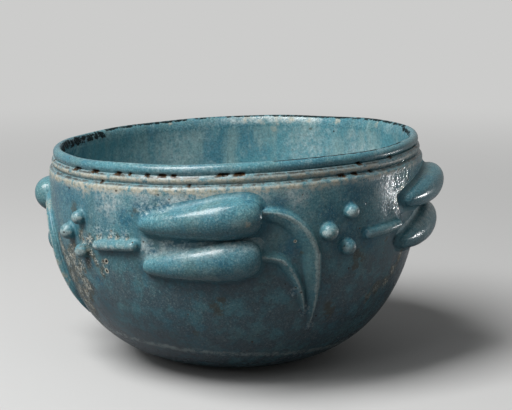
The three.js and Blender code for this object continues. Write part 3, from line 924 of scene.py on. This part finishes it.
class LOTUS_OT_body(bpy.types.Operator):
    """Turn the bowl, with its lip, rib and grooves, and mark where its glaze is worn and pitted"""

    bl_idname = "lotus.body"
    bl_label = "Bowl body"

    def execute(self, context):
        wall = Wall(context.scene.lotus_bowl)
        outline = body_outline(wall)
        bm = bmesh.new()
        station = bm.verts.layers.float.new("station")
        line = [bm.verts.new((0, -radius, height)) for radius, height, _ in outline]
        for index, vert in enumerate(line):
            vert[station] = index
        spin(bm, line, (0, 0, 1), 2 * math.pi, ROUND_STEPS, True)
        bmesh.ops.recalc_face_normals(bm, faces=bm.faces)
        material = glaze("Faience glaze on the bowl", grain=0.35, depth=0.5)
        piece = finish_piece("bowl_body_glazed", bm, "bowl_body", material)
        self.mark(piece.data, wall, outline)
        return {"FINISHED"}

    def mark(self, mesh, wall, outline):
        """Dents the grooves and the lip, keeps the marks, and gives the wall its hand-made shape."""
        size = wall.size
        radii, heights, line_kinds = (np.array([point[k] for point in outline]) for k in range(3))
        station = np.rint(get_attribute(mesh, "station")).astype(int)
        kinds = line_kinds[station]
        is_inside = kinds == "inside"
        is_wall = ~is_inside
        points = get_points(mesh)
        spots = Spots(points, size.foot_radius)
        bearing, height = spots.bearing, spots.height
        radius = np.hypot(points[:, 0], points[:, 1])
        left_share = facing(bearing, DEPOSIT_SIDE)

        # Each groove holds pits, pale deposit along its foot, and dirt with painted shade along its bottom
        rust, dent, dusted, grimed, chipped = np.zeros((5, len(points)))
        for groove, pits in GROOVE_PITS.items():
            found = line_kinds == groove
            valley_radius, valley_height = radii[found].min(), heights[found].mean()
            for pit_bearing, half_width in pits:
                across = turn_from(pit_bearing, bearing) * size.lip_radius / (0.85 * half_width * MM)
                up = (height - valley_height + 0.1 * MM) / (0.5 * MM)
                pit = np.exp(-(across**4) - up**2) * is_wall * (radius > valley_radius - 0.5 * MM)
                rust = np.maximum(rust, pit)
                dent = np.maximum(dent, pit * PIT_DEPTH * MM)
            in_groove = is_wall * (radius > valley_radius - MM)
            deposit = bell(height - valley_height + 1.5 * MM, 0.95 * MM) * (0.28 + 0.67 * left_share)
            dusted = np.maximum(dusted, deposit * in_groove)
            bottom = bell(height - valley_height + 0.4 * MM, 0.4 * MM)
            grimed = np.maximum(grimed, bottom * in_groove * 0.75)

        # The inner edge of the lip is chipped, most on the far left, the far right and the right
        arc = np.concatenate([[0], np.cumsum(np.hypot(np.diff(radii), np.diff(heights)))])
        past = (arc - arc[np.argmax(heights)])[station]
        degrees = np.degrees(bearing) % 360
        for start, end, middle, spread, most in CHIPS:
            fade = np.clip((degrees - start) / CHIP_FADE, 0, 1) * np.clip((end - degrees) / CHIP_FADE, 0, 1)
            chipped = np.maximum(chipped, fade * bell(past - middle * MM, spread * MM) * most)
        broken = np.clip(chipped * (1 + 0.9 * rough(points, 1.3 * MM, 1)) - 0.4, 0, 1)
        dent += CHIP_DEPTH * MM * broken * (past < 2 * MM)

        # A pale line shows how far the sloping base is rubbed. The lip and the rib are rubbed too
        base_line = (11.3 - 3.2 * np.sin(bearing + math.radians(8))) * MM
        base_wear = 0.75 * bell(height - base_line, 1.2 * MM)
        crest_wear = 0.3 * bell(past + 0.5 * MM, MM) * (kinds == "lip")
        rib_wear = 0.45 * bell(height - size.bowl_height + size.rib_drop, MM) * (kinds == "outside")
        # Painted highlight on the inner edge of the far lip
        rim_highlight = bell(past - 2 * MM, 1.5 * MM) * spots.near(INNER_RIM_HIGHLIGHT)
        inner_haze = 0.5 * spots.near(BLOOMED_INSIDE) * is_inside
        rib_haze = 0.9 * (kinds == "outside") * (height > 62 * MM) * (0.5 + 0.5 * left_share)
        dust_outside = 0.5 * spots.near(DUSTED) * is_wall
        # Deposit inside, and painted highlight along the far inner rim
        dust_and_highlight_inside = 0.7 * spots.near(DUSTED_AND_LIT_INSIDE) * (past > -MM)

        marks = {mark: values * is_wall for mark, values in spots.marks().items()}
        marks["stained"] = np.where(is_inside, spots.near(STAINED_INSIDE), marks["stained"])
        marks["bloomed"] = np.maximum.reduce([marks["bloomed"], rim_highlight, inner_haze, rib_haze])
        marks["pooled"] = np.maximum(marks["pooled"], self.pooled(wall, bearing, height) * is_wall)
        marks["dusted"] = np.maximum.reduce([dusted, dust_outside, dust_and_highlight_inside])
        marks["worn"] = np.maximum.reduce([base_wear, crest_wear, rib_wear]) * is_wall
        marks.update(inside=is_inside, grimed=grimed, rusted=rust, chipped=chipped)
        set_attributes(mesh, marks)

        # Pits and chips sink straight in, on the lip towards the middle of its roll
        away = np.stack([points[:, 0], points[:, 1], np.zeros(len(points))], axis=1)
        away /= np.maximum(radius, TOUCH)[:, None]
        lip_middle = (0, 0, size.bowl_height - size.lip_roll)
        lip_away = points - away * (size.lip_radius - size.lip_roll) - lip_middle
        lip_away /= np.maximum(np.linalg.norm(lip_away, axis=1), TOUCH)[:, None]
        way_in = np.where((kinds == "lip")[:, None], lip_away, away)
        points -= way_in * dent[:, None]
        bumpy = 0.06 * MM * rough(points, 9 * MM, 2) + 0.03 * MM * rough(points, 3.5 * MM, 3)
        points += away * (bumpy * np.clip(height / (4 * MM), 0, 1))[:, None]
        mesh.vertices.foreach_set("co", hand_shaped(points, size).ravel())
        mesh.update()

    def pooled(self, wall, bearing, height):
        """How much glaze has gathered beside the pieces laid on the wall, with painted shadow that is
        strongest on their lower side.
        """
        most = np.zeros(len(bearing))
        shares = np.linspace(0, 1, 33)
        farthest = 12 * MM
        for spray in SPRAYS:
            places = wall.run_and_drop(spray, bearing, height)
            for piece in spray_pieces(spray):
                line, _ = piece.path.at(shares)
                width = np.interp(shares, *np.transpose(piece.outline)) * piece.radius
                reach = np.abs(places[:, None] - line[None]).max(axis=2).min(axis=1) < farthest
                offset = places[reach][:, None] - line[None]
                away = np.linalg.norm(offset, axis=2)
                gap = away - width
                nearest = (np.arange(len(gap)), gap.argmin(axis=1))
                # Painted shadow: the wall below a piece gets more of it
                under = np.clip(0.5 + 0.7 * offset[nearest][:, 1] / np.maximum(away[nearest], TOUCH), 0, 1)
                past_toe = np.maximum(gap[nearest] - 0.7 * piece.fillet, 0)
                near_by = (0.25 + 0.75 * under) * bell(past_toe, 2 * MM)
                most[reach] = np.maximum(most[reach], near_by)
        return most


def lay_piece(spray, piece, stations, sides):
    """Rolls one piece, bends it onto the wall and marks it."""
    scene = bpy.context.scene
    is_stem, is_bud = "stem" in piece.kind, "bud" in piece.kind
    outline = smooth_through(piece.outline, stations)
    outline[:, 0] = (outline[:, 0] - 0.5) * piece.path.length
    outline[:, 1] = np.maximum(outline[:, 1], 0) * piece.radius
    outline[[0, -1], 1] = 0
    if is_stem:
        # Its fillet makes up for what is taken off its width
        outline[:, 1] = np.maximum(outline[:, 1] - 0.3 * MM, outline[:, 1] * 0.5)

    def full_at(along):
        """How much of its lift and fillet a piece has, less where a stem runs out."""
        return min(1, np.interp(along, *outline.T) / (0.45 * piece.radius)) if is_stem else 1

    bm = half_roll(outline, sides)
    stand_on_wall(bm, piece, full_at, scene.lotus_spray.bed)
    name = f"{spray.name}_{piece.kind}"
    material = glaze("Faience glaze on the relief", grain=0.22, depth=0.3)
    mesh = finish_piece(f"{name}_glazed", bm, name, material).data

    straight = get_points(mesh)
    share = np.clip(straight[:, 1] / piece.path.length + 0.5, 0, 1)
    middle, way = piece.path.at(share)
    past = (straight[:, 1] - (share - 0.5) * piece.path.length)[:, None]
    side = np.stack([-way[:, 1], way[:, 0]], axis=1)
    flat = middle + way * past + side * straight[:, :1]
    lumps = 0.09 * MM * rough(straight + spray.bearing * MM, 5 * MM, 4) * (straight[:, 2] > 0.3 * MM)
    points = Wall(scene.lotus_bowl).place(spray, flat[:, 0], flat[:, 1], straight[:, 2] + lumps)

    crest = np.clip(get_attribute(mesh, "crest"), 0, 1)
    aside = straight[:, 0] / piece.radius
    root_share = np.clip(1 - straight[:, 2] / (1.5 * MM), 0, 1)
    spots = Spots(points)
    marks = {}
    for mark, values in spots.marks().items():
        share = ON_RELIEF.get(mark, 0)
        marks[mark] = values * (share + (1 - share) * root_share)
    # Paler crests of the bar and pellets: haze and painted highlight
    marks["bloomed"] = crest * (0 if is_stem or is_bud else 0.45)
    # Painted light over the upper side of the lower bud
    if piece.kind == "lower_bud":
        marks["bloomed"] = np.clip(-aside - 0.2, 0, 1)
    # Deposit, and painted highlight on the front upper bud's butt and the left upper stem
    marks["dusted"] = spots.near(DUSTED_AND_LIT_RELIEF)
    marks["matt"] = np.maximum(root_share, 0.3 if piece.kind in PELLETS else 0)
    # Painted shade: darker at the root, most on a piece's lower side, and over the lower half of a bud
    root_pool_and_shade = root_share * (0.25 + 0.75 * np.clip(0.5 + 0.7 * aside, 0, 1))
    marks["pooled"] = np.maximum(root_pool_and_shade, is_bud * 0.9 * np.clip(aside, 0, 1))
    # Pale crests: thin glaze, and a painted highlight line along the ridge of each stem
    marks["worn"] = piece.worn * crest ** (14 if is_stem else 3)
    for spare in ("start", "outward", "full", "crest"):
        mesh.attributes.remove(mesh.attributes[spare])
    set_attributes(mesh, marks)
    mesh.vertices.foreach_set("co", hand_shaped(points, scene.lotus_bowl).ravel())
    mesh.update()


class LayPieces:
    """Lays every piece of some kinds, in all four sprays."""

    def execute(self, context):
        for spray in SPRAYS:
            for piece in spray_pieces(spray):
                if piece.kind in self.kinds:
                    lay_piece(spray, piece, self.stations, self.sides)
        return {"FINISHED"}


class LOTUS_OT_buds(LayPieces, bpy.types.Operator):
    """Lay the upper and lower bud of each spray"""

    bl_idname = "lotus.buds"
    bl_label = "Buds"
    kinds = ("upper_bud", "lower_bud")
    stations, sides = 72, 36


class LOTUS_OT_stems(LayPieces, bpy.types.Operator):
    """Lay the two curved stems of each spray"""

    bl_idname = "lotus.stems"
    bl_label = "Stems"
    kinds = ("upper_stem", "lower_stem")
    stations, sides = 80, 28


class LOTUS_OT_bars(LayPieces, bpy.types.Operator):
    """Lay the short bar of each spray"""

    bl_idname = "lotus.bars"
    bl_label = "Bars"
    kinds = ("bar",)
    stations, sides = 54, 24


class LOTUS_OT_pellets(LayPieces, bpy.types.Operator):
    """Set the three pellets of each spray"""

    bl_idname = "lotus.pellets"
    bl_label = "Pellets"
    kinds = tuple(PELLETS)
    stations, sides = 36, 24


class LOTUS_OT_stage(bpy.types.Operator):
    """Set up the floor, the background, the lamps and the camera"""

    bl_idname = "lotus.stage"
    bl_label = "Stage"

    def execute(self, context):
        look = context.scene.lotus_stage
        self.add_camera(context)
        self.add_floor(context, look)
        self.light_world(context, look)
        middle, glint = (0, 0, 0.03), (0.047, -0.032, 0.057)
        key_place = Vector((-0.46, -0.34, 0.82)).normalized() * 1.05
        front_place = Vector((-0.5, -0.66, 0.56)).normalized() * 1.1
        for name, place, target, size, watts, spread in (
            ("Key lamp", key_place, middle, (0.45, 0.65), look.key_power, 180),
            ("Front lamp", front_place, middle, (0.5, 0.5), look.front_power, 180),
            ("Spark lamp", (0.25, 0.05, 0.016), glint, (0.006, 0.006), look.spark_power, 20),
        ):
            self.add_lamp(context, name, Vector(place), Vector(target), size, watts, math.radians(spread))
        context.scene.view_settings.view_transform = "Standard"
        return {"FINISHED"}

    def add_camera(self, context):
        """A long lens, a little above the rim. Its place, aim and length were fitted to the bowl."""
        yaw, pitch = math.radians(0.8432), math.radians(10.3936)
        way = Vector((math.sin(yaw) * math.cos(pitch), math.cos(yaw) * math.cos(pitch), -math.sin(pitch)))
        data = bpy.data.cameras.new("Camera")
        data.sensor_fit = "HORIZONTAL"
        data.sensor_width = 36
        data.lens = 96.53
        data.clip_start = 0.01
        camera = bpy.data.objects.new("Camera", data)
        camera.location = (0, -0.42, 0.1236)
        camera.rotation_euler = way.to_track_quat("-Z", "Y").to_euler()
        context.scene.collection.objects.link(camera)
        context.scene.camera = camera

    def add_lamp(self, context, name, place, target, size, watts, spread):
        """A rectangular lamp that faces a target and lights an angle of that width."""
        data = bpy.data.lights.new(name, "AREA")
        data.shape = "RECTANGLE"
        data.size, data.size_y = size
        data.energy = watts
        data.spread = spread
        lamp = bpy.data.objects.new(name, data)
        lamp.location = place
        lamp.rotation_euler = (target - place).to_track_quat("-Z", "Y").to_euler()
        lamp.visible_camera = False
        context.scene.collection.objects.link(lamp)

    def shown(self, add, look):
        """One for rays that show the floor or background, little for those that the glaze mirrors,
        and nothing for those that light the bowl."""
        path = add("LightPath").outputs
        seen = add(
            "Math", SUM_UP, Value=path["Is Glossy Ray"], Value_001=look.mirrored,
            Value_002=path["Is Camera Ray"],
        )
        clamped = {"operation": "ADD", "use_clamp": True}
        return add("Math", clamped, Value=seen, Value_001=path["Is Transmission Ray"])

    def add_floor(self, context, look):
        """A wide pale floor of matt paper, which runs into the background with no edge."""
        bm = bmesh.new()
        bmesh.ops.create_circle(bm, cap_ends=True, radius=4, segments=128)
        mesh = bpy.data.meshes.new("Floor")
        bm.to_mesh(mesh)
        bm.free()
        floor = bpy.data.objects.new("Floor", mesh)
        context.scene.collection.objects.link(floor)
        material = bpy.data.materials.new("Matt paper")
        add = emptied(material)
        place = add("TexCoord").outputs["Object"]
        away = add("VectorMath", {"operation": "LENGTH"}, Vector=place).outputs["Value"]
        far = add("MapRange", SMOOTH, Value=away, From_Min=0.12, From_Max=0.75)
        tint = add(
            "Mix", COLOUR, Factor_Float=self.shown(add, look), A_Color=look.floor_bounce,
            B_Color=look.floor_shown,
        )
        paper = add("BsdfDiffuse", Color=tint)
        haze = add("Emission", Color=look.floor_shown)
        shown_far = add("Math", TIMES, Value=far, Value_001=self.shown(add, look))
        mixed = add("MixShader", Fac=shown_far, Shader=paper, Shader_001=haze)
        add("OutputMaterial", Surface=mixed)
        mesh.materials.append(material)

    def light_world(self, context, look):
        """Even light all round, behind a background of the floor's own colour."""
        world = bpy.data.worlds.new("World")
        add = emptied(world)
        fill = (look.fill, look.fill, look.fill, 1)
        tint = add(
            "Mix", COLOUR, Factor_Float=self.shown(add, look), A_Color=fill, B_Color=look.floor_shown
        )
        sky = add("Background", Color=tint)
        add("OutputWorld", Surface=sky)
        context.scene.world = world


class LOTUS_PT_panel(bpy.types.Panel):
    """Lists the pieces of the bowl and the sizes and colours they are made from"""

    bl_idname = "LOTUS_PT_panel"
    bl_label = "Lotus bowl"
    bl_space_type = "VIEW_3D"
    bl_region_type = "UI"
    bl_category = "Lotus bowl"

    def draw(self, context):
        for operator in OPERATORS:
            self.layout.operator(operator.bl_idname)
        for name in SETTINGS:
            box = self.layout.box()
            group = getattr(context.scene, name)
            for setting in group.bl_rna.properties.keys():
                if setting not in ("rna_type", "name"):
                    box.prop(group, setting)


SETTINGS = {
    "lotus_bowl": BowlSizes,
    "lotus_spray": SpraySizes,
    "lotus_glaze": GlazeColours,
    "lotus_stage": StageLook,
}
OPERATORS = (
    LOTUS_OT_stage, LOTUS_OT_body, LOTUS_OT_buds, LOTUS_OT_stems, LOTUS_OT_bars, LOTUS_OT_pellets,
)


def register():
    for name, group in SETTINGS.items():
        bpy.utils.register_class(group)
        setattr(bpy.types.Scene, name, PointerProperty(type=group))
    for item in (*OPERATORS, LOTUS_PT_panel):
        bpy.utils.register_class(item)


def unregister():
    for item in (LOTUS_PT_panel, *reversed(OPERATORS)):
        bpy.utils.unregister_class(item)
    for name, group in reversed(SETTINGS.items()):
        delattr(bpy.types.Scene, name)
        bpy.utils.unregister_class(group)


def main():
    register()
    bpy.ops.lotus.stage()
    bpy.ops.lotus.body()
    bpy.ops.lotus.buds()
    bpy.ops.lotus.stems()
    bpy.ops.lotus.bars()
    bpy.ops.lotus.pellets()


if __name__ == "__main__":
    main()
